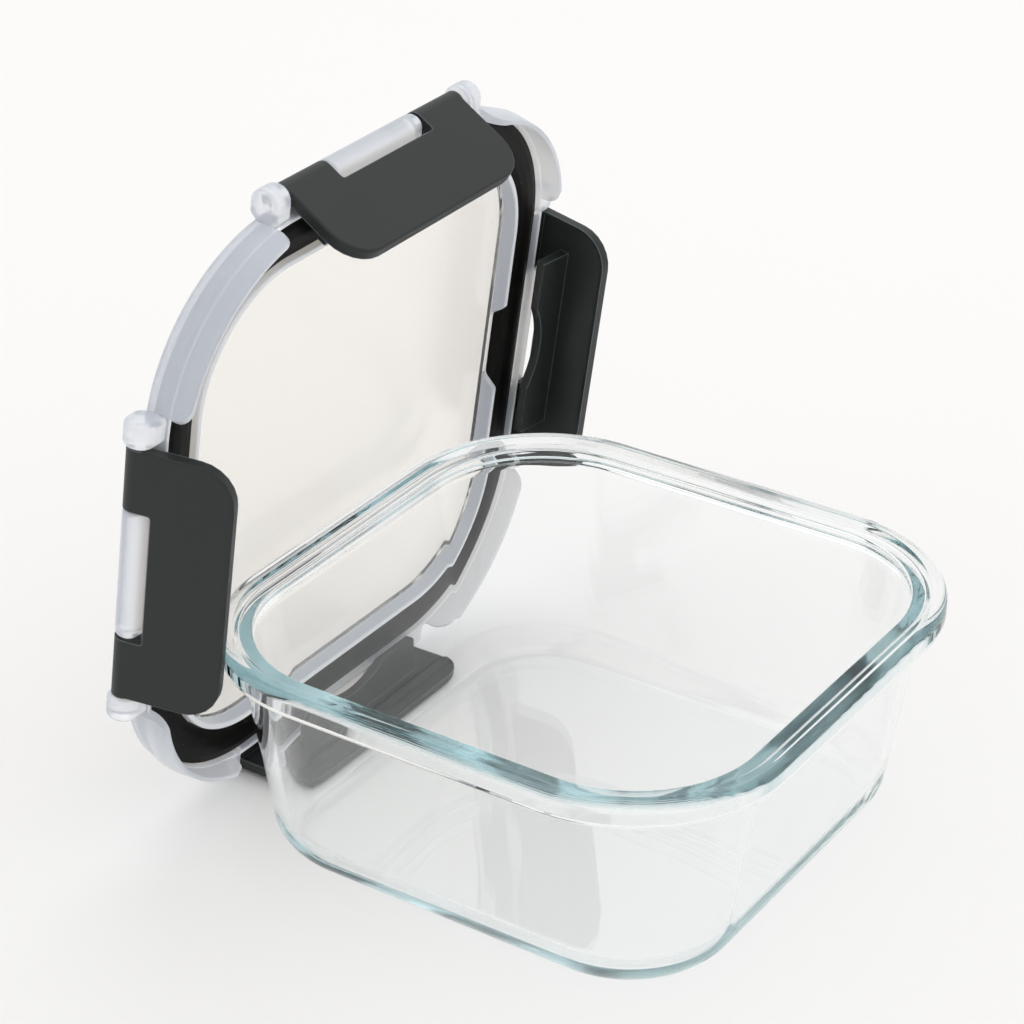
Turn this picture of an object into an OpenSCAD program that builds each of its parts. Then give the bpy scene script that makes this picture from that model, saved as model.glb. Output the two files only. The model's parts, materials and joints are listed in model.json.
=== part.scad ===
// Square glass food container with a snap-lock lid.
// The lid stands on its lower edge behind the container and leans on its rim, underside forward.
// Origin: centre of the container's flat base, +Z up, the lid on the +Y side.

/* [Container] */
// Half width of the rim, measured to its outer edge
rim_half = 76; // [62:0.5:92]
// Plan radius of the rim's corners at its outer edge
rim_corner_r = 41.3; // [34:0.1:50]
// Height from the base to the top of the rim
box_h = 62; // [45:0.5:80]
// Height of the rim flange
flange_h = 6.6; // [5:0.1:8]
// How far the flange stands out from the wall
flange_out = 5.1; // [4:0.1:7]
// Thickness of the glass wall
wall_t = 3.7; // [3:0.1:4.6]
// Thickness of the glass bottom
bottom_t = 4.5; // [3.5:0.1:6]
// How far the wall draws in from the flange down to the bottom corner
wall_draft = 7.2; // [4:0.1:9]
// Radius of the outer bottom corner
bottom_r = 9; // [7:0.5:12]
// Depth of the step from the rim's top down to the inner lip
lip_step = 1.4; // [0.8:0.1:2]

/* [Lid] */
// Thickness of the lid's top plate
plate_t = 2.4; // [1.8:0.1:3.2]
// Gap between the rim's outer edge and the lid's outer wall
rim_gap = 0.9; // [0.5:0.1:1.4]
// Thickness of the outer channel wall
outer_wall_t = 1.2; // [1:0.1:1.8]
// Thickness of the inner channel wall
inner_wall_t = 1.6; // [1.2:0.1:2]
// Gap between the inner channel wall and the container's opening
plug_gap = 0.6; // [0.4:0.1:1]
// Depth of the channel walls under the plate
channel_h = 4.7; // [4:0.1:6]
// Depth of the corner skirts under the plate
skirt_h = 10.5; // [8.6:0.1:13]
// Half length of the notch in the inner wall, where a fingertip lifts the gasket out
notch_half = 11; // [8:0.1:15]

/* [Gasket] */
// Height of the gasket's sides
gasket_side_h = 3.2; // [2.6:0.1:3.6]
// Height of the gasket at its crown
gasket_h = 4.1; // [3.6:0.1:4.6]
// Gap on each side of the gasket in its channel
gasket_gap = 0.25; // [0.1:0.05:0.4]
// How far the gasket is squeezed when the lid is locked
squeeze = 0.9; // [0.5:0.1:1.2]

/* [Locking flaps] */
// Radius of the hinge rods
rod_r = 1.75; // [1.4:0.05:2.1]
// Radial clearance between a rod and its curl
rod_gap = 0.06; // [0.03:0.01:0.1]
// Wall of the curl that snaps over the rod
curl_t = 1.29; // [1:0.01:1.6]
// Width of a flap from the hinge axis to its free edge
flap_w = 24.6; // [20.6:0.1:30]
// Thickness of the flap plate
flap_t = 2.2; // [1.6:0.1:2.6]
// Plan radius of the flap's free corners
flap_corner_r = 9.5; // [6:0.5:11]
// Depth of the turned edge round the flap
edge_h = 3; // [2.6:0.1:3.4]
// Width of the turned edge
edge_t = 1.6; // [1.2:0.1:2.2]
// Half length of the slot at the middle of the hinge
slot_half = 18.3; // [15:0.1:21]
// Depth of that slot past the hinge axis
slot_depth = 4.7; // [4.2:0.1:6]
// Height of the locking ledge inside the flap
ledge_h = 10.2; // [8.5:0.1:10.5]
// Thickness of the locking ledge
ledge_t = 2.6; // [2:0.1:3.2]
// Distance from the flap's end to the end of the ledge
ledge_inset = 9; // [7:0.5:12]

/* [Pose of the lid] */
// Lean of the standing lid towards the container, in degrees
lean = 8; // [5:0.1:12]
// Sideways place of the lid along the rim
lid_x = 1.6; // [-3:0.1:3]
// Gap between the lid's underside and the rim that it leans on
lean_gap = 0.3; // [0.2:0.05:0.6]
// Gap between the lower flap and the container's bottom corner
foot_gap = 0.3; // [0.3:0.1:1]
// Angle of the upper flap from the lid's plane, in degrees
upper_angle = 115; // [90:1:118]
// Angle of the left flap from the lid's plane, in degrees
left_angle = 108; // [90:1:110]
// Angle of the right flap from the lid's plane, in degrees
right_angle = 96; // [90:1:110]

/* [Hidden] */
$fn = 64;
eps = 0.01;

// Plan: every ring of the object shares the four corner centres.
corner_c = rim_half - rim_corner_r;

// Container profile, in half widths and heights.
wall_top = rim_half - flange_out;                // outer wall under the flange
wall_low = wall_top - wall_draft;                // outer wall at the bottom corner
opening_half = wall_top - wall_t;                // inner edge of the rim
flange_z = box_h - flange_h;
bead_r = 2.4;                                    // upper outer edge of the rim
under_r = 1.2;                                   // lower outer edge of the rim
lip_r = 0.9;                                     // inner edge of the rim
bead_in = wall_top + 1.2;                        // inner end of the rim's flat top
step_in = wall_top - 0.3;                        // outer end of the inner lip
lip_z = box_h - lip_step;
inner_bottom_r = bottom_r - 1.5;
neck_r = 1.6;                                    // fillet between wall and flange

// Lid rings.
wall_in = rim_half + rim_gap;
wall_out = wall_in + outer_wall_t;
plug_out = opening_half - plug_gap;
plug_in = plug_out - inner_wall_t;
skirt_in = wall_in + 0.3;
skirt_out = wall_out + 0.3;
skirt_end = 10;                                  // degrees of arc left free at a skirt's ends
skirt_lobe_r = 4;
notch_r = 2.4;
notch_floor = 0.6;

// Hinges.
bore_r = rod_r + rod_gap;
curl_r = bore_r + curl_t;
curl_gap = 0.56;                                 // between curl and channel wall
hinge_half = wall_out + curl_gap + curl_r;
flap_half = corner_c + 0.5;
end_gap = 0.3;                                   // between a flap's end and the ear
side_gap = 0.4;                                  // between slot and knuckle
ear_t = 6.6;                                      // wide enough to meet the corner skirt
ear_r = curl_r + 0.9;
ledge_s = gasket_h - squeeze + flange_h;         // the ledge grips under the flange
ledge_half = flap_half - ledge_inset;
relief_half = 12.4;                              // hollow in the ledge's crest
relief_depth = 3.4;
relief_r = (relief_half * relief_half + relief_depth * relief_depth) / (2 * relief_depth);
mouth_w = 2.6;                                   // snap-in mouth of the curl

// Gasket.
gasket_out = wall_in - gasket_gap;
gasket_in = plug_out + gasket_gap;

// Standing lid: it rests on the lower curl, and leans on the rim's outer edge.
lid_z = hinge_half * cos(lean) + curl_r;
touch_z = box_h - bead_r;
foot_y = hinge_half * sin(lean);
foot_wall = wall_low - bottom_r + sqrt(bottom_r * bottom_r - pow(bottom_r - edge_h - 0.2, 2));
leaned_y = rim_half + lean_gap - (lid_z - touch_z) * tan(lean);
footed_y = foot_wall + foot_gap + flap_w - foot_y;
lid_y = max(leaned_y, footed_y);
lower_angle = 90 + lean;                         // the lower flap lies flat on the floor

// Points of an arc, both ends included.
function arc(cx, cy, r, from, to, steps = 6) =
    [for (i = [0:steps]) let (a = from + (to - from) * i / steps) [cx + r * cos(a), cy + r * sin(a)]];

// Angle of the drawn-in wall from the vertical.
wall_lean = atan(wall_draft / (flange_z - neck_r - bottom_r));
inner_low = wall_low - wall_t;

module rounded_square(half) {
    side = 2 * corner_c;
    square([2 * half, side], center = true);
    square([side, 2 * half], center = true);
    for (x = [-1, 1], y = [-1, 1])
        translate([x * corner_c, y * corner_c]) circle(half - corner_c);
}

module ring(outer, inner, low, high) {
    translate([0, 0, low]) linear_extrude(high - low) difference() {
        rounded_square(outer);
        rounded_square(inner);
    }
}

// Carries a profile, drawn from the corner centre outwards, once round the rounded square.
module sweep_round(profile) {
    for (i = [0:3]) rotate([0, 0, 90 * i]) {
        translate([corner_c, corner_c, 0]) rotate_extrude(angle = 90) polygon(profile);
        translate([corner_c, corner_c, 0]) rotate([90, 0, 0])
            linear_extrude(2 * corner_c) polygon(profile);
    }
}

glass_profile = concat(
    [[0, 0]],
    arc(wall_low - corner_c - bottom_r, bottom_r, bottom_r, -90, -wall_lean),
    arc(wall_top - corner_c + neck_r, flange_z - neck_r, neck_r, 180, 90, 4),
    arc(rim_half - corner_c - under_r, flange_z + under_r, under_r, -90, 0, 4),
    arc(rim_half - corner_c - bead_r, box_h - bead_r, bead_r, 0, 90),
    [[bead_in - corner_c, box_h], [step_in - corner_c, lip_z]],
    arc(opening_half - corner_c + lip_r, lip_z - lip_r, lip_r, 90, 180, 4),
    arc(inner_low - corner_c - inner_bottom_r, bottom_t + inner_bottom_r, inner_bottom_r, -wall_lean, -90),
    [[0, bottom_t]]);

module glass_box() {
    color([0.78, 0.9, 0.9, 0.5]) union() {
        sweep_round(glass_profile);
        translate([-corner_c, -corner_c, 0]) cube([2 * corner_c, 2 * corner_c, bottom_t]);
    }
}

// Places what is drawn for the closed lid (top up, hinge axes at height 0) where the lid stands.
module standing() {
    translate([lid_x, lid_y, lid_z]) rotate([lean - 90, 0, 0]) children();
}

// A skirt is the part of a corner wall that reaches down past the channel.
module corner_skirt() {
    sweep = 90 - 2 * skirt_end;
    r_in = skirt_in - corner_c;
    r_out = skirt_out - corner_c;
    drop = skirt_h - channel_h;
    difference() {
        translate([corner_c, corner_c, 0]) rotate([0, 0, skirt_end]) rotate_extrude(angle = sweep)
            translate([r_in, -skirt_h]) square([r_out - r_in, drop + 1]);
        for (end = [0, 1])
            translate([corner_c, corner_c, -skirt_h])
                rotate([0, 0, end == 0 ? skirt_end : 90 - skirt_end]) mirror([0, end, 0])
                    translate([r_in - 2, -eps, -eps]) difference() {
                        cube([r_out - r_in + 4, skirt_lobe_r, skirt_lobe_r]);
                        translate([-1, skirt_lobe_r, skirt_lobe_r]) rotate([0, 90, 0])
                            cylinder(r = skirt_lobe_r, h = r_out - r_in + 6);
                    }
    }
}

// Knuckle, ears and rod of the hinge on the +X side.
module hinge_side() {
    knuckle_half = slot_half - side_gap;
    web_x = wall_in + eps;
    ear_in = flap_half + end_gap;
    translate([hinge_half, 0, 0]) rotate([90, 0, 0]) {
        cylinder(r = rod_r, h = 2 * ear_in + 1, center = true);
        cylinder(r = curl_r, h = 2 * knuckle_half, center = true);
        for (side = [-1, 1])
            translate([0, 0, side * (ear_in + ear_t / 2)]) cylinder(r = ear_r, h = ear_t, center = true);
    }
    translate([web_x, -knuckle_half, -curl_r])
        cube([hinge_half - web_x, 2 * knuckle_half, curl_r + plate_t]);
    for (side = [-1, 1])
        translate([web_x, side > 0 ? ear_in : -ear_in - ear_t, -ear_r])
            cube([hinge_half - web_x, ear_t, ear_r + plate_t]);
}

module lift_notch() {
    depth = channel_h + 2;
    translate([plug_in - 2, -notch_half, -depth]) cube([inner_wall_t + 3, 2 * notch_half, depth - notch_floor - notch_r]);
    translate([plug_in - 2, -notch_half + notch_r, -depth])
        cube([inner_wall_t + 3, 2 * (notch_half - notch_r), depth - notch_floor]);
    for (side = [-1, 1])
        translate([plug_in - 2, side * (notch_half - notch_r), -notch_floor - notch_r])
            rotate([0, 90, 0]) cylinder(r = notch_r, h = inner_wall_t + 3);
}

module lid_shell() {
    color([0.92, 0.93, 0.95]) standing() union() {
        linear_extrude(plate_t) rounded_square(wall_out);
        ring(wall_out, wall_in, -channel_h, eps);
        difference() {
            ring(plug_out, plug_in, -channel_h, eps);
            lift_notch();
        }
        for (i = [0:3]) rotate([0, 0, 90 * i]) {
            corner_skirt();
            hinge_side();
        }
    }
}

gasket_profile = concat(
    [[gasket_in - corner_c, 0], [gasket_in - corner_c, -gasket_side_h]],
    [for (i = [1:7]) let (k = i / 8)
        [gasket_in - corner_c + k * (gasket_out - gasket_in),
         -gasket_side_h - (gasket_h - gasket_side_h) * sin(180 * k)]],
    [[gasket_out - corner_c, -gasket_side_h], [gasket_out - corner_c, 0]]);

module gasket() {
    color([0.16, 0.16, 0.15]) standing() union() sweep_round(gasket_profile);
}

// Flap drawn flat: hinge axis along Y at the origin, plate towards +X, ledge underneath.
module flap_outline(inset) {
    reach = flap_w - inset;
    half = flap_half - inset;
    r = flap_corner_r - inset;
    translate([0, -half]) square([reach - r, 2 * half]);
    translate([0, -half + r]) square([reach, 2 * (half - r)]);
    for (side = [-1, 1]) translate([reach - r, side * (half - r)]) circle(r);
}

module flap_shape() {
    plate_low = curl_r - flap_t;
    union() {
        difference() {
            union() {
                rotate([90, 0, 0]) cylinder(r = curl_r, h = 2 * flap_half, center = true);
                translate([0, 0, plate_low]) linear_extrude(flap_t) flap_outline(0);
                translate([0, 0, curl_r - edge_h]) linear_extrude(edge_h) difference() {
                    flap_outline(0);
                    flap_outline(edge_t);
                    translate([-eps, -flap_half - 1]) square([slot_depth + edge_t, 2 * flap_half + 2]);
                }
            }
            rotate([90, 0, 0]) cylinder(r = bore_r, h = 2 * flap_half + 2, center = true);
            translate([-mouth_w / 2, -flap_half - 1, -curl_r - 1]) cube([mouth_w, 2 * flap_half + 2, curl_r + 1]);
            translate([-curl_r - 1, -slot_half, -curl_r - 1])
                cube([curl_r + 1 + slot_depth, 2 * slot_half, 2 * curl_r + 2]);
        }
        difference() {
            translate([ledge_s, -ledge_half, curl_r - flap_t - ledge_h])
                cube([ledge_t, 2 * ledge_half, ledge_h + 0.5]);
            translate([ledge_s - 1, 0, curl_r - flap_t - ledge_h - relief_r + relief_depth])
                rotate([0, 90, 0]) cylinder(r = relief_r, h = ledge_t + 2, $fn = 180);
        }
    }
}

module flap(side_angle, fold) {
    color([0.26, 0.28, 0.28]) standing() rotate([0, 0, side_angle])
        translate([hinge_half, 0, 0]) rotate([0, fold, 0]) flap_shape();
}

glass_box();
lid_shell();
gasket();
flap(-90, upper_angle);  // flap_upper
flap(180, left_angle);  // flap_left
flap(0, right_angle);  // flap_right
flap(90, lower_angle);  // flap_lower
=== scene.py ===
"""Square glass food container with its snap-lock lid standing behind it, locking flaps folded in.

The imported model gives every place: the lid's frame comes from its four hinges, and each flap's
from its own hinge. Lid pieces are drawn in the closed lid's own directions, with its top up, and
then moved to where the lid stands.
"""

import json
import math

import bmesh
import bpy
from bpy.props import FloatProperty, FloatVectorProperty, PointerProperty
from mathutils import Matrix, Vector


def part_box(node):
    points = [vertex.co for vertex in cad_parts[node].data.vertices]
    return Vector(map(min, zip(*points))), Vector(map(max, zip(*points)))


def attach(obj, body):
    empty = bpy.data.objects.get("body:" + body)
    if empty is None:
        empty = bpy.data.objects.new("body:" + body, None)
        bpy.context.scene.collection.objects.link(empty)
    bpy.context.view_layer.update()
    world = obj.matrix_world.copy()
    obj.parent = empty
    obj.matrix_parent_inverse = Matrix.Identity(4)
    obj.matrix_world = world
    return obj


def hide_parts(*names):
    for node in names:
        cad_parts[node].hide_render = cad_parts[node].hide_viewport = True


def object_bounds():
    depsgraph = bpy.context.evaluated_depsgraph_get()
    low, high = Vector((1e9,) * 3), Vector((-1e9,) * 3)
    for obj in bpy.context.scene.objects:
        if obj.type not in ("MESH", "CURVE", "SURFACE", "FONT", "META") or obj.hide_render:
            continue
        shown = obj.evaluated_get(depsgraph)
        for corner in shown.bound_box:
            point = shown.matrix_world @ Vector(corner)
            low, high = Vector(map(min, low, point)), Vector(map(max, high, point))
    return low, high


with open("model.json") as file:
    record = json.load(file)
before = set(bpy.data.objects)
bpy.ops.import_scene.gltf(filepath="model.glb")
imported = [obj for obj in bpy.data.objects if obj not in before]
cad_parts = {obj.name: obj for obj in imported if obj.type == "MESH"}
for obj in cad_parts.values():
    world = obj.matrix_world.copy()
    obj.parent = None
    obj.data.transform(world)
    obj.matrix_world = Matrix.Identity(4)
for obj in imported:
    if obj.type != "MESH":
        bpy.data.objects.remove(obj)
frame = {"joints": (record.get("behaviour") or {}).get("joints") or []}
CAD_LOW, CAD_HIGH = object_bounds()

bl_info = {
    "name": "Snap-lock Glass Food Container",
    "version": (1, 0, 0),
    "blender": (4, 5, 0),
    "location": "View3D > Sidebar > Food Container",
    "description": "Builds a glass food container, its lid, gasket and four locking flaps",
    "category": "Mesh",
}

WELD = 1e-6  # metres within which two points are one
CORNER_STEPS = 28  # facets round a quarter of the rounded square
ROUND_STEPS = 6  # facets round a small edge
TUBE_STEPS = 48  # facets round a hinge curl
LIGHT_BOUNCES = 48  # light runs a long way round inside the glass rim
MATT = "matt"  # attribute of the lid: 0 on its polished panel, 1 on its matt walls
FLOOR_GAP = 0.0003  # air under the glass, so that it doesn't share a face with the floor
ARM_ROOT = 0.0003  # how far past the wall's inner face an arm starts
ARM_SHOULDER = 0.0008  # how far past the wall's outer face an arm's shoulder stands
ARM_SUNK = 0.0004  # how far an arm's root ends below the plate's top
ARM_TIP_ROUND = 0.97  # share of an arm's radius that rounds each corner of its tip
SHOULDER_ROUND = 1.5  # a shoulder's radius over that on the arm's edges
KNUCKLE_ROUND = 0.0012  # radius on a knuckle's edges
SOFTBOX_SIZE = 1.2  # metres along each side
SOFTBOX_PLACE = (0.5, 0.2, 1.3)  # metres from the middle of the object

# Where the lid and its hinges are.
HINGES = {joint["child"]: joint for joint in frame["joints"] if joint["type"] == "hinge"}
SIDE_ANGLES = {"right_flap": 0, "lower_flap": 90, "left_flap": 180, "upper_flap": 270}


def hinge_point(flap):
    """The middle of a flap's hinge axis."""
    return Vector(HINGES[flap]["pos_m"])


LID_CENTRE = (hinge_point("left_flap") + hinge_point("right_flap")) / 2
ACROSS = (hinge_point("right_flap") - LID_CENTRE).normalized()
DOWN = (hinge_point("lower_flap") - LID_CENTRE).normalized()
HINGE_HALF = (hinge_point("right_flap") - LID_CENTRE).length
LID_PLACE = Matrix.Translation(LID_CENTRE) @ Matrix((ACROSS, DOWN, ACROSS.cross(DOWN))).transposed().to_4x4()

RIM_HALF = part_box("glass_box")[1].x
BOX_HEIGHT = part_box("glass_box")[1].z


def flap_place(flap):
    """Where a flap drawn flat, with its hinge axis along Y at the origin, lies on the standing lid."""
    fold = -HINGES[flap]["range_deg"][0]
    side = Matrix.Rotation(math.radians(SIDE_ANGLES[flap]), 4, "Z")
    out = Matrix.Translation((HINGE_HALF, 0, 0))
    return LID_PLACE @ side @ out @ Matrix.Rotation(math.radians(fold), 4, "Y")


def linear(code):
    """An sRGB colour such as #34393A as linear red, green and blue."""
    shares = [int(code[i : i + 2], 16) / 255 for i in (1, 3, 5)]
    return [s / 12.92 if s <= 0.04045 else ((s + 0.055) / 1.055) ** 2.4 for s in shares]


def length(name, default, description):
    """A size in metres that a user may change."""
    return FloatProperty(
        name=name, description=description, default=default, min=0.0, unit="LENGTH", precision=5
    )


def colour(name, code, description):
    """A colour that a user may change."""
    return FloatVectorProperty(
        name=name, description=description, default=linear(code), min=0.0, max=1.0, subtype="COLOR"
    )


class GlassSettings(bpy.types.PropertyGroup):
    """Sizes and colour of the glass container."""

    corner: length("Rim corner", 0.0413, "Plan radius of the rim's corners at its outer edge")
    flange_height: length("Flange height", 0.0066, "Height of the rim flange")
    flange_reach: length("Flange reach", 0.0051, "How far the flange stands out from the wall")
    wall: length("Wall", 0.0037, "Thickness of the glass wall")
    bottom: length("Bottom", 0.0045, "Thickness of the glass bottom")
    foot_half: length("Foot", 0.0624, "Half width of the outer wall, carried down to the table")
    foot_round: length("Foot round", 0.0105, "Radius of the outer bottom corner")
    inner_round: length("Inner round", 0.0085, "Radius of the inner bottom corner")
    bead: length("Bead", 0.0024, "Radius of the rim's upper outer edge")
    under_round: length("Under round", 0.0012, "Radius of the flange's lower edge")
    neck_round: length("Neck round", 0.0016, "Fillet between the wall and the flange")
    lip_step: length("Lip step", 0.0014, "Depth of the step from the rim's top to the inner lip")
    lip_round: length("Lip round", 0.0009, "Radius of the lip's inner edge")
    step_out: length("Step outer", 0.0721, "Half width where the rim's top ends")
    step_in: length("Step inner", 0.0706, "Half width where the inner lip begins")
    tint: colour("Tint", "#7AC0C8", "Colour that the glass takes in its thickness")


class LidSettings(bpy.types.PropertyGroup):
    """Sizes and colours of the moulded lid."""

    plate: length("Plate", 0.0024, "Thickness of the lid's plate")
    wall_in: length("Wall inside", 0.0769, "Half width inside the outer channel wall")
    wall_out: length("Wall outside", 0.0781, "Half width outside the outer channel wall")
    plug_in: length("Plug inside", 0.0650, "Half width inside the inner channel wall")
    plug_out: length("Plug outside", 0.0666, "Half width outside the inner channel wall")
    channel: length("Channel", 0.0047, "Depth of the channel walls under the plate")
    crest_round: length("Crest round", 0.0005, "Radius on the channel walls' crests")
    root_round: length("Root round", 0.0008, "Fillet between the inner wall and the plate")
    top_round: length("Top round", 0.0009, "Radius round the plate's upper edge")
    notch_half: length("Notch", 0.0095, "Half length of the lifting notch at its floor")
    notch_run: length("Notch run", 0.0033, "Length of each slanted end of the notch")
    notch_floor: length("Notch floor", 0.0006, "Height of the inner wall left in the notch")
    notch_round: length("Notch round", 0.0022, "Radius where the notch's slants begin and end")
    skirt: length("Skirt", 0.0105, "Depth of the corner skirts under the plate")
    skirt_half: length("Skirt length", 0.0250, "Half length of a corner skirt, straight across")
    skirt_wall: length("Skirt wall", 0.0012, "Thickness of a corner skirt")
    skirt_lobe: length("Skirt lobe", 0.0045, "Radius of a skirt's free corners")
    ridge: length("Ridge", 0.0009, "How far a skirt swells at its middle")
    ridge_depth: length("Ridge depth", 0.0035, "Depth of that swelling under the plate")
    rod: length("Rod", 0.00175, "Radius of the hinge rods")
    knuckle: length("Knuckle", 0.0031, "Radius of the middle knuckle")
    knuckle_half: length("Knuckle length", 0.0179, "Half length of the middle knuckle")
    ear: length("Ear", 0.004, "Radius of the ears that hold the rod")
    ear_start: length("Ear start", 0.0355, "Place of an ear's inner face along the hinge")
    ear_width: length("Ear width", 0.0066, "Width of an ear along the hinge")
    ear_round: length("Ear round", 0.0014, "Radius on an ear's edges")
    body_colour: colour("Body colour", "#E6EFFD", "Colour of light thrown back by the moulded lid")
    glow_colour: colour("Glow colour", "#FFFBF5", "Colour of light that comes through the moulded lid")


class GasketSettings(bpy.types.PropertyGroup):
    """Sizes and colour of the gasket."""

    inner: length("Inner", 0.06685, "Half width of the gasket's inner side")
    outer: length("Outer", 0.07665, "Half width of the gasket's outer side")
    side_height: length("Side height", 0.0032, "Height of the gasket's sides")
    crown: length("Crown", 0.0041, "Height of the gasket at its crown")
    skin: colour("Skin", "#0E0D0C", "Colour of the silicone")


class FlapSettings(bpy.types.PropertyGroup):
    """Sizes and colour of a locking flap."""

    width: length("Width", 0.0246, "From the hinge axis to the free edge")
    half: length("Half length", 0.0352, "Half length along the hinge")
    plate: length("Plate", 0.0022, "Thickness of the flap's plate")
    corner: length("Corner", 0.0095, "Plan radius of the free corners")
    edge_height: length("Edge height", 0.003, "Depth of the turned edge")
    edge_width: length("Edge width", 0.0016, "Width of the turned edge")
    edge_round: length("Edge round", 0.0006, "Radius on the flap's outer edge")
    curl: length("Curl", 0.0031, "Outer radius of the hinge curl")
    bore: length("Bore", 0.00181, "Bore of the hinge curl")
    mouth: length("Mouth", 0.0026, "Width of the snap-in mouth of the curl")
    slot_half: length("Slot", 0.0183, "Half length of the slot for the knuckle")
    slot_depth: length("Slot depth", 0.0047, "Depth of that slot past the hinge axis")
    ledge_start: length("Ledge start", 0.0098, "From the hinge axis to the locking ledge")
    ledge_thick: length("Ledge thickness", 0.0026, "Thickness of the locking ledge")
    ledge_height: length("Ledge height", 0.0102, "Height of the locking ledge")
    ledge_half: length("Ledge length", 0.0262, "Half length of the locking ledge")
    relief_half: length("Relief length", 0.0124, "Half length of the hollow in the ledge's crest")
    relief_depth: length("Relief depth", 0.0034, "Depth of that hollow")
    paint: colour("Colour", "#222625", "Colour of the moulded flap")
    # Painted highlight: the pale colour laid along the flap's edges, standing in for light caught on them.
    painted_edge_highlight: colour("Painted edge highlight", "#6A7880", "Colour of the highlight painted along the flap's edges")


class StageSettings(bpy.types.PropertyGroup):
    """Camera, light and floor."""

    azimuth: FloatProperty(name="Azimuth", default=math.radians(-56.4), subtype="ANGLE")
    elevation: FloatProperty(name="Elevation", default=math.radians(29.03), subtype="ANGLE")
    roll: FloatProperty(name="Roll", default=math.radians(0.21), subtype="ANGLE")
    distance: length("Distance", 0.8713, "From the camera to the point that it looks at")
    lens: FloatProperty(name="Lens", description="Focal length in millimetres", default=110.46)
    aim: FloatVectorProperty(name="Aim", default=(0.07441, 0.07114, 0.030), subtype="TRANSLATION")
    floor_colour: colour("Floor colour", "#F3F2F1", "Colour of the floor")
    sky: FloatProperty(name="Sky", description="Strength of the light from overhead", default=1.0)
    sky_edge: FloatProperty(name="Sky edge", description="Share of it left at eye level", default=0.86)
    key: FloatProperty(name="Key", description="Power of the large lamp, in watts", default=3.0)


GROUPS = {
    "glass_settings": GlassSettings,
    "lid_settings": LidSettings,
    "gasket_settings": GasketSettings,
    "flap_settings": FlapSettings,
    "stage_settings": StageSettings,
}


# ---------------------------------------------------------------- meshes


def only(parts, kind):
    """The vertices, edges or faces among the parts that an operator returned."""
    return [part for part in parts if isinstance(part, kind)]


def outline(bm, points, closed=False):
    """Edges through points of x, y, z and the radius that rounds that corner; returns the edges."""
    before = set(bm.edges)
    corners = [bm.verts.new(point[:3]) for point in points]
    pairs = list(zip(corners, corners[1:]))
    if closed:
        pairs.append((corners[-1], corners[0]))
    for first, second in pairs:
        bm.edges.new((first, second))
    for corner, point in zip(corners, points):
        radius = point[3]
        if radius == 0:
            continue
        arms = [edge.other_vert(corner).co - corner.co for edge in corner.link_edges]
        cut = radius / math.tan(arms[0].angle(arms[1]) / 2)
        bmesh.ops.bevel(
            bm,
            geom=[corner],
            offset=cut,
            offset_type="ABSOLUTE",
            affect="VERTICES",
            segments=ROUND_STEPS,
            profile=0.5,
            material=-1,
        )
    return [edge for edge in bm.edges if edge not in before]


def upright(points):
    """Points of half width, height and radius as outline points on the plane Y = 0."""
    return [(half, 0.0, height, radius) for half, height, radius in points]


def sweep_round(bm, corner):
    """Carries the outline on the plane Y = 0 once round the square whose corner centres are corner out."""
    bmesh.ops.translate(bm, verts=bm.verts, vec=(0, corner, 0))
    trail = bm.verts[:] + bm.edges[:]
    for quarter in range(4):
        turn = Matrix.Rotation(math.radians(90 * quarter), 4, "Z")
        spun = bmesh.ops.spin(
            bm,
            geom=trail,
            cent=turn @ Vector((corner, corner, 0)),
            axis=(0, 0, 1),
            angle=math.radians(90),
            steps=CORNER_STEPS,
            use_merge=False,
        )
        run = bmesh.ops.extrude_edge_only(bm, edges=only(spun["geom_last"], bmesh.types.BMEdge))
        ends = only(run["geom"], bmesh.types.BMVert)
        bmesh.ops.translate(bm, verts=ends, vec=turn @ Vector((-2 * corner, 0, 0)))
        joins = [edge for edge in only(run["geom"], bmesh.types.BMEdge) if set(edge.verts) <= set(ends)]
        trail = ends + joins
    close_up(bm)


def close_up(bm):
    """Welds what meets, caps every open end and turns the faces outwards."""
    bmesh.ops.remove_doubles(bm, verts=bm.verts, dist=WELD)
    bmesh.ops.dissolve_degenerate(bm, edges=bm.edges, dist=WELD)
    bmesh.ops.holes_fill(bm, edges=[edge for edge in bm.edges if edge.is_boundary], sides=0)
    bmesh.ops.recalc_face_normals(bm, faces=bm.faces)


def prism(bm, points, depth):
    """A solid whose closed outline is carried along the vector depth; returns its vertices."""
    edges = outline(bm, points, closed=True)
    face = bmesh.ops.contextual_create(bm, geom=edges)["faces"][0]
    rim = list(face.verts)
    out = bmesh.ops.extrude_face_region(bm, geom=[face], use_keep_orig=True)
    ends = only(out["geom"], bmesh.types.BMVert)
    bmesh.ops.translate(bm, verts=ends, vec=depth)
    solid = rim + ends
    bmesh.ops.recalc_face_normals(bm, faces=list({f for v in solid for f in v.link_faces}))
    return solid


def rod_along_y(bm, radius, middle, span, at=(0, 0)):
    """A closed cylinder along Y, centred on Y = middle and on X, Z = at; returns its vertices."""
    spot = Matrix.Translation((at[0], middle, at[1])) @ Matrix.Rotation(math.radians(90), 4, "X")
    made = bmesh.ops.create_cone(
        bm,
        cap_ends=True,
        cap_tris=False,
        segments=TUBE_STEPS,
        radius1=radius,
        radius2=radius,
        depth=span,
        matrix=spot,
    )
    return made["verts"]


def soften(bm, edges, radius, steps=4):
    """Rounds some edges."""
    bmesh.ops.bevel(
        bm,
        geom=edges,
        offset=radius,
        offset_type="OFFSET",
        affect="EDGES",
        segments=steps,
        profile=0.5,
        material=-1,
    )


def edges_of(verts):
    """The edges whose two ends are among the vertices."""
    inside = set(verts)
    return [edge for edge in {e for v in verts for e in v.link_edges} if set(edge.verts) <= inside]


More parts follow.
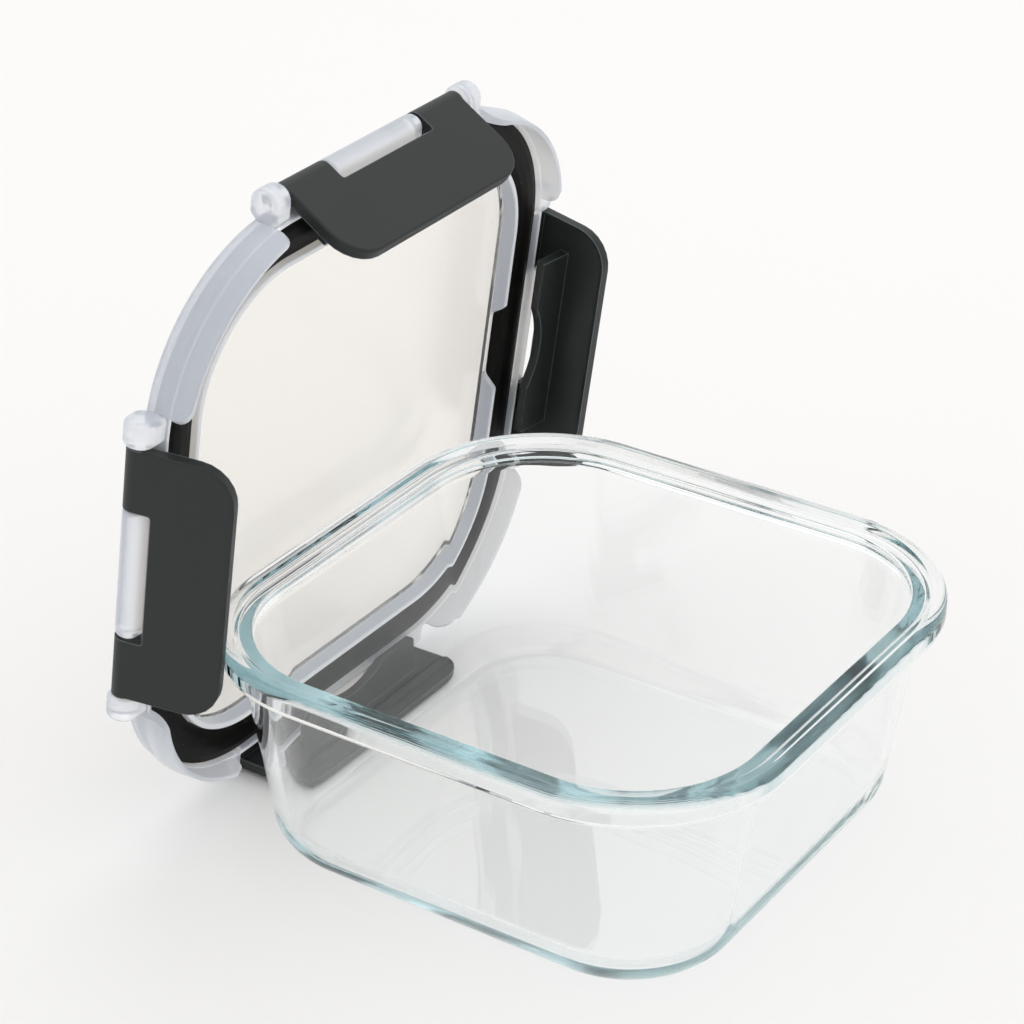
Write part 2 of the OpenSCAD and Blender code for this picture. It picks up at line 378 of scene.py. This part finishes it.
def block(bm, low, high):
    """A closed box between two corners; returns its vertices."""
    low, high = Vector(low), Vector(high)
    place = Matrix.Translation((low + high) / 2) @ Matrix.Diagonal((*(high - low), 1))
    return bmesh.ops.create_cube(bm, size=1, matrix=place)["verts"]


def solid(bm, name):
    """Makes the mesh an object, for combining."""
    mesh = bpy.data.meshes.new(name)
    bm.to_mesh(mesh)
    bm.free()
    shape = bpy.data.objects.new(name, mesh)
    bpy.context.scene.collection.objects.link(shape)
    return shape


def combine(shape, other, how, own_overlaps=False):
    """Unites, cuts or intersects a shape with another, which is used up."""
    change = shape.modifiers.new("combine", "BOOLEAN")
    change.object = other
    change.operation = how
    change.solver = "EXACT"
    change.use_self = own_overlaps
    graph = bpy.context.evaluated_depsgraph_get()
    old, shape_mesh = shape.data, bpy.data.meshes.new_from_object(shape.evaluated_get(graph))
    shape.modifiers.clear()
    shape.data = shape_mesh
    bpy.data.meshes.remove(old)
    bpy.data.objects.remove(other)


def finish_piece(shape, name, place, body, node, material):
    """Moves a shape to its place, smooths it, ties it to its body and its material, and hides its CAD node.
    """
    shape.name = name
    bm = bmesh.new()
    bm.from_mesh(shape.data)
    bmesh.ops.transform(bm, matrix=place, verts=bm.verts)
    bmesh.ops.remove_doubles(bm, verts=bm.verts, dist=WELD)
    bmesh.ops.dissolve_degenerate(bm, edges=bm.edges, dist=WELD)
    if any(not edge.is_manifold for edge in bm.edges):
        raise RuntimeError(f"{name} isn't closed")
    for face in bm.faces:
        face.smooth = True
    bm.to_mesh(shape.data)
    bm.free()
    shape.data.name = name
    shape.data.set_sharp_from_angle(angle=math.radians(32))
    shape.data.materials.clear()
    shape.data.materials.append(material)
    shading = shape.modifiers.new("even shading", "WEIGHTED_NORMAL")
    shading.keep_sharp = True
    shading.weight = 100
    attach(shape, body)
    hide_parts(node)
    return shape


# ---------------------------------------------------------------- materials


def blank_material(name):
    """An empty node material with its output; returns the material, its tree and the output."""
    material = bpy.data.materials.new(name)
    material.use_nodes = True
    material.node_tree.nodes.clear()
    return material, material.node_tree, material.node_tree.nodes.new("ShaderNodeOutputMaterial")


def add_node(tree, kind, inputs=None, **settings):
    """Adds a node with its settings, and sets or links its inputs."""
    made = tree.nodes.new(kind)
    for name, value in settings.items():
        setattr(made, name, value)
    for name, value in (inputs or {}).items():
        if isinstance(value, bpy.types.NodeSocket):
            tree.links.new(value, made.inputs[name])
        else:
            made.inputs[name].default_value = value
    return made


def per_mm(size):
    """The scale that gives a pattern the size, in millimetres."""
    return 1000 / size


def pressed_glass(tint):
    """Tempered soda-lime glass, pressed in a mould: clear and glossy, with a slow ripple from the
    mould and a green-blue colour that shows only where light has gone a long way through it."""
    material, tree, output = blank_material("tempered_soda_lime_glass")
    where = add_node(tree, "ShaderNodeTexCoord").outputs["Object"]
    ripple = add_node(tree, "ShaderNodeTexNoise", {"Vector": where, "Scale": per_mm(30), "Detail": 1.0})
    wave = add_node(
        tree, "ShaderNodeBump", {"Height": ripple.outputs[0], "Strength": 0.05, "Distance": 0.0004}
    )
    glass = add_node(
        tree,
        "ShaderNodeBsdfPrincipled",
        {
            "Base Color": (1.0, 1.0, 1.0, 1.0),
            "Roughness": 0.0,
            "IOR": 1.51,
            "Transmission Weight": 1.0,
            "Normal": wave.outputs[0],
        },
    )
    # Lamps shine through the thin walls, so the floor under the glass isn't black.
    through = add_node(tree, "ShaderNodeBsdfTransparent", {"Color": (1.0, 1.0, 1.0, 1.0)})
    ray = add_node(tree, "ShaderNodeLightPath")
    soft_ray = add_node(
        tree,
        "ShaderNodeMath",
        {0: ray.outputs["Is Shadow Ray"], 1: ray.outputs["Is Diffuse Ray"]},
        operation="MAXIMUM",
    )
    surface = add_node(
        tree, "ShaderNodeMixShader", {0: soft_ray.outputs[0], 1: glass.outputs[0], 2: through.outputs[0]}
    )
    inside = add_node(tree, "ShaderNodeVolumeAbsorption", {"Color": (*tint, 1.0), "Density": 5.0})
    tree.links.new(surface.outputs[0], output.inputs["Surface"])
    tree.links.new(inside.outputs[0], output.inputs["Volume"])
    return material


def natural_polypropylene(body, glow):
    """Unpigmented polypropylene, injection moulded: thin walls are nearly clear and let warm light
    through, what stands edge-on throws back cool light, and a fine-blasted mould leaves it softly glossy."""
    material, tree, output = blank_material("natural_polypropylene")
    where = add_node(tree, "ShaderNodeTexCoord").outputs["Object"]
    flow = add_node(tree, "ShaderNodeTexNoise", {"Vector": where, "Scale": per_mm(12), "Detail": 3.0})
    drift = add_node(tree, "ShaderNodeMapRange", {"Value": flow.outputs[0], "To Min": 0.94, "To Max": 1.06})
    # The panel is polished thin, and the walls round it are matt and thicker.
    matt = add_node(tree, "ShaderNodeAttribute", attribute_name=MATT).outputs["Fac"]
    share = add_node(tree, "ShaderNodeMapRange", {"Value": matt, "To Min": 0.08, "To Max": 0.66})
    milky = add_node(
        tree, "ShaderNodeMath", {0: share.outputs[0], 1: drift.outputs[0]}, operation="MULTIPLY"
    )
    # A wall's milkiness is given once, where light goes in, and not again where it comes out.
    inside = add_node(tree, "ShaderNodeNewGeometry").outputs["Backfacing"]
    outside = add_node(tree, "ShaderNodeMath", {0: 1.0, 1: inside}, operation="SUBTRACT")
    cloudy = add_node(
        tree, "ShaderNodeMath", {0: milky.outputs[0], 1: outside.outputs[0]}, operation="MULTIPLY"
    )
    grain = add_node(tree, "ShaderNodeTexNoise", {"Vector": where, "Scale": per_mm(0.5), "Detail": 2.0})
    skin = add_node(
        tree, "ShaderNodeBump", {"Height": grain.outputs[0], "Strength": 0.04, "Distance": 0.00005}
    )
    clear = add_node(
        tree,
        "ShaderNodeBsdfPrincipled",
        {
            "Base Color": (*glow, 1.0),
            "Roughness": 0.2,
            "IOR": 1.49,
            "Transmission Weight": 1.0,
            "Normal": skin.outputs[0],
        },
    )
    milk = add_node(
        tree,
        "ShaderNodeBsdfPrincipled",
        {"Base Color": (*body, 1.0), "Roughness": 0.35, "IOR": 1.49, "Normal": skin.outputs[0]},
    )
    lit = add_node(tree, "ShaderNodeBsdfTranslucent", {"Color": (*glow, 1.0)})
    scatter = add_node(tree, "ShaderNodeMixShader", {0: 0.25, 1: milk.outputs[0], 2: lit.outputs[0]})
    wall = add_node(
        tree, "ShaderNodeMixShader", {0: cloudy.outputs[0], 1: clear.outputs[0], 2: scatter.outputs[0]}
    )
    # Lamps shine through the thin walls, as they do through the glass.
    through = add_node(tree, "ShaderNodeBsdfTransparent", {"Color": (0.88, 0.87, 0.86, 1.0)})
    ray = add_node(tree, "ShaderNodeLightPath")
    surface = add_node(
        tree,
        "ShaderNodeMixShader",
        {0: ray.outputs["Is Shadow Ray"], 1: wall.outputs[0], 2: through.outputs[0]},
    )
    tree.links.new(surface.outputs[0], output.inputs["Surface"])
    return material


def dark_silicone(skin_colour):
    """Compression-moulded silicone: nearly black, softly satin, and it holds fine pale dust."""
    material, tree, output = blank_material("moulded_silicone")
    where = add_node(tree, "ShaderNodeTexCoord").outputs["Object"]
    cells = add_node(tree, "ShaderNodeTexVoronoi", {"Vector": where, "Scale": per_mm(2.2)})
    speck = add_node(
        tree,
        "ShaderNodeMapRange",
        {
            "Value": cells.outputs["Distance"],
            "From Min": 0.05,
            "From Max": 0.09,
            "To Min": 1.0,
            "To Max": 0.0,
        },
    )
    patch = add_node(tree, "ShaderNodeTexNoise", {"Vector": where, "Scale": per_mm(9), "Detail": 2.0})
    dusty = add_node(
        tree, "ShaderNodeMapRange", {"Value": patch.outputs[0], "From Min": 0.5, "From Max": 0.75}
    )
    dust = add_node(
        tree, "ShaderNodeMath", {0: speck.outputs[0], 1: dusty.outputs[0]}, operation="MULTIPLY"
    )
    face = add_node(
        tree,
        "ShaderNodeMix",
        {"Factor": dust.outputs[0], "A": (*skin_colour, 1.0), "B": (0.22, 0.21, 0.19, 1.0)},
        data_type="RGBA",
    )
    grain = add_node(tree, "ShaderNodeTexNoise", {"Vector": where, "Scale": per_mm(0.6), "Detail": 3.0})
    bump = add_node(
        tree, "ShaderNodeBump", {"Height": grain.outputs[0], "Strength": 0.12, "Distance": 0.0001}
    )
    rubber = add_node(
        tree,
        "ShaderNodeBsdfPrincipled",
        {
            "Base Color": face.outputs["Result"],
            "Roughness": 0.45,
            "IOR": 1.41,
            "Specular IOR Level": 0.12,
            "Normal": bump.outputs[0],
        },
    )
    tree.links.new(rubber.outputs[0], output.inputs["Surface"])
    return material


def charcoal_polypropylene(paint, painted_edge_highlight):
    """Pigmented polypropylene, injection moulded in a spark-textured mould: charcoal with an even
    satin skin, a little glossier where fingers have rubbed it, and a painted highlight, a paler bluish
    colour, along all its edges."""
    material, tree, output = blank_material("charcoal_polypropylene")
    where = add_node(tree, "ShaderNodeTexCoord").outputs["Object"]
    rubbed = add_node(tree, "ShaderNodeTexNoise", {"Vector": where, "Scale": per_mm(16), "Detail": 3.0})
    satin = add_node(tree, "ShaderNodeMapRange", {"Value": rubbed.outputs[0], "To Min": 0.36, "To Max": 0.50})
    shade = add_node(
        tree,
        "ShaderNodeMapRange",
        {
            "Vector": rubbed.outputs[0],
            9: tuple(c * 0.93 for c in paint),
            10: tuple(c * 1.07 for c in paint),
        },
        data_type="FLOAT_VECTOR",
    )
    grain = add_node(tree, "ShaderNodeTexNoise", {"Vector": where, "Scale": per_mm(0.35), "Detail": 2.0})
    bump = add_node(
        tree, "ShaderNodeBump", {"Height": grain.outputs[0], "Strength": 0.25, "Distance": 0.00006}
    )
    # Painted highlight: where the bevelled normal turns from the true normal, along every edge, the colour is
    # blended towards the pale bluish highlight colour, standing in for light caught on the rounded edges.
    rounded = add_node(tree, "ShaderNodeBevel", {"Radius": 0.0005}, samples=6)
    facing = add_node(tree, "ShaderNodeNewGeometry").outputs["Normal"]
    same = add_node(
        tree, "ShaderNodeVectorMath", {0: rounded.outputs[0], 1: facing}, operation="DOT_PRODUCT"
    )
    edge = add_node(
        tree,
        "ShaderNodeMapRange",
        {"Value": same.outputs["Value"], "From Min": 0.97, "From Max": 0.88, "To Min": 0.0, "To Max": 0.75},
    )
    face = add_node(
        tree,
        "ShaderNodeMix",
        {"Factor": edge.outputs[0], "A": shade.outputs["Vector"], "B": (*painted_edge_highlight, 1.0)},
        data_type="RGBA",
    )
    plastic = add_node(
        tree,
        "ShaderNodeBsdfPrincipled",
        {
            "Base Color": face.outputs["Result"],
            "Roughness": satin.outputs[0],
            "IOR": 1.49,
            "Specular IOR Level": 0.35,
            "Normal": bump.outputs[0],
        },
    )
    tree.links.new(plastic.outputs[0], output.inputs["Surface"])
    return material


def studio_floor(shade):
    """Smooth matt board, painted near white."""
    material, tree, output = blank_material("painted_board")
    where = add_node(tree, "ShaderNodeTexCoord").outputs["Object"]
    tooth = add_node(tree, "ShaderNodeTexNoise", {"Vector": where, "Scale": per_mm(3), "Detail": 2.0})
    bump = add_node(
        tree, "ShaderNodeBump", {"Height": tooth.outputs[0], "Strength": 0.05, "Distance": 0.0001}
    )
    board = add_node(
        tree,
        "ShaderNodeBsdfPrincipled",
        {
            "Base Color": (*shade, 1.0),
            "Roughness": 0.8,
            "Specular IOR Level": 0.1,
            "Normal": bump.outputs[0],
        },
    )
    tree.links.new(board.outputs[0], output.inputs["Surface"])
    return material


# ---------------------------------------------------------------- operators


class MakeStage(bpy.types.Operator):
    """Lays the floor, lights it and sets the camera"""

    bl_idname = "foodbox.stage"
    bl_label = "Stage"

    def execute(self, context):
        scene = context.scene
        stage = scene.stage_settings
        scene.view_settings.view_transform = "Standard"
        scene.cycles.max_bounces = LIGHT_BOUNCES
        scene.cycles.transmission_bounces = LIGHT_BOUNCES
        scene.cycles.glossy_bounces = LIGHT_BOUNCES

        bm = bmesh.new()
        under = Matrix.Translation((0, 0, CAD_LOW.z - FLOOR_GAP))
        bmesh.ops.create_grid(bm, x_segments=1, y_segments=1, size=6.0, matrix=under)
        floor = solid(bm, "floor")
        floor.data.materials.append(studio_floor(stage.floor_colour))

        world = bpy.data.worlds.new("studio")
        world.use_nodes = True
        sky = world.node_tree.nodes["Background"]
        way = add_node(world.node_tree, "ShaderNodeTexCoord").outputs["Generated"]
        height = add_node(world.node_tree, "ShaderNodeSeparateXYZ", {"Vector": way}).outputs["Z"]
        dome = add_node(
            world.node_tree,
            "ShaderNodeMapRange",
            {
                "Value": height,
                "From Min": 0.05,
                "From Max": 0.75,
                "To Min": stage.sky * stage.sky_edge,
                "To Max": stage.sky,
            },
            interpolation_type="SMOOTHSTEP",
        )
        sky.inputs["Color"].default_value = (1.0, 1.0, 1.0, 1.0)
        world.node_tree.links.new(dome.outputs[0], sky.inputs["Strength"])
        scene.world = world

        middle = (CAD_LOW + CAD_HIGH) / 2
        lamp = bpy.data.lights.new("large softbox", "AREA")
        lamp.shape = "RECTANGLE"
        lamp.size = SOFTBOX_SIZE
        lamp.size_y = SOFTBOX_SIZE
        lamp.energy = stage.key
        softbox = bpy.data.objects.new("large softbox", lamp)
        softbox.location = middle + Vector(SOFTBOX_PLACE)
        softbox.rotation_euler = (middle - softbox.location).to_track_quat("-Z", "Y").to_euler()
        scene.collection.objects.link(softbox)

        level = math.cos(stage.elevation)
        sideways = math.sin(stage.azimuth) * level
        backwards = -math.cos(stage.azimuth) * level
        back = Vector((sideways, backwards, math.sin(stage.elevation)))
        eye = bpy.data.cameras.new("camera")
        eye.lens = stage.lens
        eye.sensor_width = 36.0
        camera = bpy.data.objects.new("camera", eye)
        camera.location = Vector(stage.aim) + back * stage.distance
        turn = Matrix.Rotation(stage.roll, 3, "Z")
        camera.rotation_euler = ((-back).to_track_quat("-Z", "Y").to_matrix() @ turn).to_euler()
        scene.collection.objects.link(camera)
        scene.camera = camera
        return {"FINISHED"}


class MakeGlass(bpy.types.Operator):
    """Makes the pressed glass container"""

    bl_idname = "foodbox.glass"
    bl_label = "Glass container"

    def execute(self, context):
        glass = context.scene.glass_settings
        corner = RIM_HALF - glass.corner
        wall_top = RIM_HALF - glass.flange_reach
        flange_low = BOX_HEIGHT - glass.flange_height
        lip_height = BOX_HEIGHT - glass.lip_step
        slope = (wall_top - glass.foot_half) / flange_low
        inner_foot = glass.foot_half + slope * glass.bottom - glass.wall
        bm = bmesh.new()
        outline(
            bm,
            upright(
                [
                    (corner, 0.0, 0),
                    (glass.foot_half, 0.0, glass.foot_round),
                    (wall_top, flange_low, glass.neck_round),
                    (RIM_HALF, flange_low, glass.under_round),
                    (RIM_HALF, BOX_HEIGHT, glass.bead),
                    (glass.step_out, BOX_HEIGHT, 0.0006),
                    (glass.step_in, lip_height, 0.0006),
                    (wall_top - glass.wall, lip_height, glass.lip_round),
                    (inner_foot, glass.bottom, glass.inner_round),
                    (corner, glass.bottom, 0),
                ]
            ),
        )
        sweep_round(bm, corner)
        finish_piece(
            solid(bm, "container"),
            "glass_container",
            Matrix.Identity(4),
            "container",
            "glass_box",
            pressed_glass(glass.tint),
        )
        return {"FINISHED"}


def lid_walls(lid, corner):
    """The plate with the two walls of the gasket's channel."""
    bm = bmesh.new()
    crest = -lid.channel
    outline(
        bm,
        upright(
            [
                (corner, 0.0, 0),
                (lid.plug_in, 0.0, lid.root_round),
                (lid.plug_in, crest, lid.crest_round),
                (lid.plug_out, crest, lid.crest_round),
                (lid.plug_out, 0.0, 0),
                (lid.wall_in, 0.0, 0),
                (lid.wall_in, crest, lid.crest_round),
                (lid.wall_out, crest, lid.crest_round),
                (lid.wall_out, lid.plate, lid.top_round),
                (lid.plug_in - lid.root_round, lid.plate, 0),
                (corner, lid.plate, 0),
            ]
        ),
    )
    sweep_round(bm, corner)
    return solid(bm, "lid walls")


def lift_notch(lid):
    """The space that lets a fingertip reach the gasket through the inner wall."""
    clear = 0.0005
    crest = -lid.channel - clear / 10
    inner = lid.plug_in - clear
    half = [
        (lid.notch_half, -lid.notch_floor, lid.notch_round),
        (lid.notch_half + lid.notch_run, crest, lid.notch_round),
        (lid.notch_half + 2 * lid.notch_run, crest, 0),
        (lid.notch_half + 2 * lid.notch_run, crest - clear, 0),
    ]
    mirrored = [(-y, z, radius) for y, z, radius in reversed(half)]
    bm = bmesh.new()
    prism(
        bm,
        [(inner, y, z, radius) for y, z, radius in half + mirrored],
        (lid.plug_out - lid.plug_in + 2 * clear, 0, 0),
    )
    return solid(bm, "notch")


def corner_skirt(lid, corner):
    """The deep wall round the corner at +X +Y, cut to its lobed length."""
    inner = lid.wall_in + 0.0003
    outer = inner + lid.skirt_wall
    bm = bmesh.new()
    outline(
        bm,
        upright(
            [
                (inner, lid.plate / 2, 0),
                (inner, -lid.skirt, lid.skirt_wall * 0.45),
                (outer, -lid.skirt, lid.skirt_wall * 0.45),
                (outer + lid.ridge, -lid.ridge_depth, 0.004),
                (lid.wall_out, lid.plate / 2, 0),
            ]
        ),
        closed=True,
    )
    bmesh.ops.translate(bm, verts=bm.verts, vec=(0, corner, 0))
    bmesh.ops.spin(
        bm,
        geom=bm.verts[:] + bm.edges[:],
        cent=(corner, corner, 0),
        axis=(0, 0, 1),
        angle=math.radians(90),
        steps=CORNER_STEPS,
        use_merge=False,
    )
    close_up(bm)
    skirt = solid(bm, "skirt")
    bm = bmesh.new()
    prism(
        bm,
        [
            (0.02, -lid.skirt_half, lid.plate, 0),
            (0.02, -lid.skirt_half, -lid.skirt, lid.skirt_lobe),
            (0.02, lid.skirt_half, -lid.skirt, lid.skirt_lobe),
            (0.02, lid.skirt_half, lid.plate, 0),
        ],
        (0.06, 0, 0),
    )
    diagonal = Matrix.Translation((corner, corner, 0)) @ Matrix.Rotation(math.radians(45), 4, "Z")
    bmesh.ops.transform(bm, matrix=diagonal, verts=bm.verts)
    combine(skirt, solid(bm, "skirt length"), "INTERSECT")
    return skirt


def hinge_arm(bm, lid, radius, start, stop, rounding):
    """An arm from the lid's wall that ends round the hinge axis, from start to stop along it."""
    root = lid.wall_in + ARM_ROOT
    tip = HINGE_HALF + radius
    low, high = min(start, stop), max(start, stop)
    arm = prism(
        bm,
        [
            (root, low, -radius, 0),
            (tip, low, -radius, radius * ARM_TIP_ROUND),
            (tip, low, radius, radius * ARM_TIP_ROUND),
            (lid.wall_out + ARM_SHOULDER, low, radius, rounding * SHOULDER_ROUND),
            (root, low, lid.plate - ARM_SUNK, 0),
        ],
        (0, high - low, 0),
    )
    rims = [
        edge
        for edge in edges_of(arm)
        if abs(edge.verts[0].co.y - edge.verts[1].co.y) < WELD
        and max(v.co.x for v in edge.verts) > root + WELD
    ]
    soften(bm, rims, rounding)


def hinge_parts(bm, lid):
    """The knuckle, ears and rod on the +X side."""
    rod_along_y(bm, lid.rod, 0, 2 * lid.ear_start + lid.ear_width, (HINGE_HALF, 0))
    hinge_arm(bm, lid, lid.knuckle, -lid.knuckle_half, lid.knuckle_half, KNUCKLE_ROUND)
    ear_stop = lid.ear_start + lid.ear_width
    for side in (-1, 1):
        hinge_arm(bm, lid, lid.ear, side * lid.ear_start, side * ear_stop, lid.ear_round)


def mark_matt_walls(shell, corner, panel_half):
    """Marks what lies outside the panel, by its half width in the rounded square's own measure."""
    marks = shell.data.attributes.new(MATT, "FLOAT", "POINT")
    for vert, mark in zip(shell.data.vertices, marks.data):
        past = Vector((max(abs(vert.co.x) - corner, 0), max(abs(vert.co.y) - corner, 0)))
        mark.value = float(corner + past.length > panel_half - WELD)


class MakeLid(bpy.types.Operator):
    """Makes the moulded lid: plate, channel walls, corner skirts, ears, knuckles and hinge rods"""

    bl_idname = "foodbox.lid"
    bl_label = "Lid"

    def execute(self, context):
        lid = context.scene.lid_settings
        corner = RIM_HALF - context.scene.glass_settings.corner
        shell = lid_walls(lid, corner)
        combine(shell, lift_notch(lid), "DIFFERENCE")
        skirt = corner_skirt(lid, corner)
        bm = bmesh.new()
        bm.from_mesh(skirt.data)
        bpy.data.objects.remove(skirt)
        hinge_parts(bm, lid)
        quarter = bm.verts[:] + bm.edges[:] + bm.faces[:]
        for turn in (90, 180, 270):
            copy = bmesh.ops.duplicate(bm, geom=quarter)["geom"]
            bmesh.ops.rotate(
                bm,
                verts=only(copy, bmesh.types.BMVert),
                cent=(0, 0, 0),
                matrix=Matrix.Rotation(math.radians(turn), 3, "Z"),
            )
        combine(shell, solid(bm, "hinge sides"), "UNION", own_overlaps=True)
        mark_matt_walls(shell, corner, lid.plug_in)
        finish_piece(
            shell,
            "lid_moulding",
            LID_PLACE,
            "lid",
            "lid_shell",
            natural_polypropylene(lid.body_colour, lid.glow_colour),
        )
        return {"FINISHED"}


class MakeGasket(bpy.types.Operator):
    """Makes the silicone gasket"""

    bl_idname = "foodbox.gasket"
    bl_label = "Gasket"

    def execute(self, context):
        ring = context.scene.gasket_settings
        corner = RIM_HALF - context.scene.glass_settings.corner
        middle = (ring.inner + ring.outer) / 2
        quarter = (ring.outer - ring.inner) / 4
        shoulder = -ring.side_height - (ring.crown - ring.side_height) * 0.75
        bm = bmesh.new()
        outline(
            bm,
            upright(
                [
                    (ring.inner, 0.0, 0),
                    (ring.inner, -ring.side_height, 0.0006),
                    (middle - quarter, shoulder, 0.002),
                    (middle, -ring.crown, 0.006),
                    (middle + quarter, shoulder, 0.002),
                    (ring.outer, -ring.side_height, 0.0006),
                    (ring.outer, 0.0, 0),
                ]
            ),
            closed=True,
        )
        sweep_round(bm, corner)
        finish_piece(
            solid(bm, "gasket"),
            "gasket_ring",
            LID_PLACE,
            "lid",
            "gasket",
            dark_silicone(ring.skin),
        )
        return {"FINISHED"}


def flap_plate(flap):
    """The flap's plate with its turned edge, drawn flat with the outer face up."""
    bm = bmesh.new()
    plate = prism(
        bm,
        [
            (0.0, -flap.half, flap.curl, 0),
            (flap.width, -flap.half, flap.curl, flap.corner),
            (flap.width, flap.half, flap.curl, flap.corner),
            (0.0, flap.half, flap.curl, 0),
        ],
        (0, 0, -flap.edge_height),
    )
    low = flap.curl - flap.edge_height
    under = [face for face in bm.faces if all(abs(v.co.z - low) < WELD for v in face.verts)]
    bmesh.ops.inset_region(bm, faces=under, thickness=flap.edge_width, depth=0, use_even_offset=True)
    bmesh.ops.translate(bm, verts=under[0].verts, vec=(0, 0, flap.edge_height - flap.plate))
    outer = [
        e
        for e in edges_of(plate)
        if all(abs(v.co.z - flap.curl) < WELD for v in e.verts) and max(v.co.x for v in e.verts) > WELD
    ]
    soften(bm, outer, flap.edge_round, 3)
    return solid(bm, "plate")


def flap_shape(flap):
    """A whole flap: plate, hinge curl and locking ledge, with its bore, mouth and slot cut."""
    shape = flap_plate(flap)
    bm = bmesh.new()
    rod_along_y(bm, flap.curl, 0, 2 * flap.half)
    combine(shape, solid(bm, "curl"), "UNION")
    root = flap.curl - flap.plate
    crest = root - flap.ledge_height
    bm = bmesh.new()
    sagitta = flap.relief_depth
    radius = (flap.relief_half**2 + sagitta**2) / (2 * sagitta)
    ledge = block(
        bm,
        (flap.ledge_start, -flap.ledge_half, crest),
        (flap.ledge_start + flap.ledge_thick, flap.ledge_half, root + 0.0005),
    )
    soften(bm, [e for e in edges_of(ledge) if all(v.co.z < root for v in e.verts)], 0.0004, 3)
    part = solid(bm, "ledge")
    bm = bmesh.new()
    tilt = Matrix.Translation((flap.ledge_start, 0, crest - radius + sagitta)) @ Matrix.Rotation(
        math.radians(90), 4, "Y"
    )
    bmesh.ops.create_cone(
        bm,
        cap_ends=True,
        segments=4 * TUBE_STEPS,
        radius1=radius,
        radius2=radius,
        depth=0.02,
        matrix=tilt,
    )
    combine(part, solid(bm, "relief"), "DIFFERENCE")
    combine(shape, part, "UNION")
    bm = bmesh.new()
    rod_along_y(bm, flap.bore, 0, 2 * flap.half + 0.004)
    combine(shape, solid(bm, "bore"), "DIFFERENCE")
    bm = bmesh.new()
    reach = flap.half + 0.001
    block(bm, (-flap.mouth / 2, -reach, -flap.curl - 0.001), (flap.mouth / 2, reach, 0))
    combine(shape, solid(bm, "mouth"), "DIFFERENCE")
    bm = bmesh.new()
    prism(
        bm,
        [
            (-0.006, -flap.slot_half, -0.006, 0),
            (flap.slot_depth, -flap.slot_half, -0.006, 0.0008),
            (flap.slot_depth, flap.slot_half, -0.006, 0.0008),
            (-0.006, flap.slot_half, -0.006, 0),
        ],
        (0, 0, 0.012),
    )
    combine(shape, solid(bm, "slot"), "DIFFERENCE")
    return shape


class MakeFlaps(bpy.types.Operator):
    """Makes the four locking flaps"""

    bl_idname = "foodbox.flaps"
    bl_label = "Locking flaps"

    def execute(self, context):
        flap = context.scene.flap_settings
        pattern = flap_shape(flap)
        # The second colour is a painted highlight along the flaps' edges.
        plastic = charcoal_polypropylene(flap.paint, flap.painted_edge_highlight)
        for body in SIDE_ANGLES:
            side = body.split("_")[0]
            shape = pattern.copy()
            shape.data = pattern.data.copy()
            context.scene.collection.objects.link(shape)
            finish_piece(
                shape,
                f"locking_flap_{side}",
                flap_place(body),
                body,
                f"flap_{side}",
                plastic,
            )
        bpy.data.objects.remove(pattern)
        return {"FINISHED"}


class FOODBOX_PT_pieces(bpy.types.Panel):
    """Lists the operators that make the stage and the pieces."""

    bl_label = "Food container"
    bl_space_type = "VIEW_3D"
    bl_region_type = "UI"
    bl_category = "Food Container"

    def draw(self, context):
        for operator in OPERATORS:
            self.layout.operator(operator.bl_idname)


OPERATORS = (MakeStage, MakeGlass, MakeLid, MakeGasket, MakeFlaps)
CLASSES = (*GROUPS.values(), *OPERATORS, FOODBOX_PT_pieces)


def register():
    """Registers the classes and gives the scene its settings."""
    for cls in CLASSES:
        bpy.utils.register_class(cls)
    for name, group in GROUPS.items():
        setattr(bpy.types.Scene, name, PointerProperty(type=group))


def unregister():
    """Takes the settings and classes away again."""
    for name in GROUPS:
        delattr(bpy.types.Scene, name)
    for cls in reversed(CLASSES):
        bpy.utils.unregister_class(cls)


def main():
    """Makes the stage and every piece."""
    register()
    bpy.ops.foodbox.stage()
    bpy.ops.foodbox.glass()
    bpy.ops.foodbox.lid()
    bpy.ops.foodbox.gasket()
    bpy.ops.foodbox.flaps()


if __name__ == "__main__":
    main()
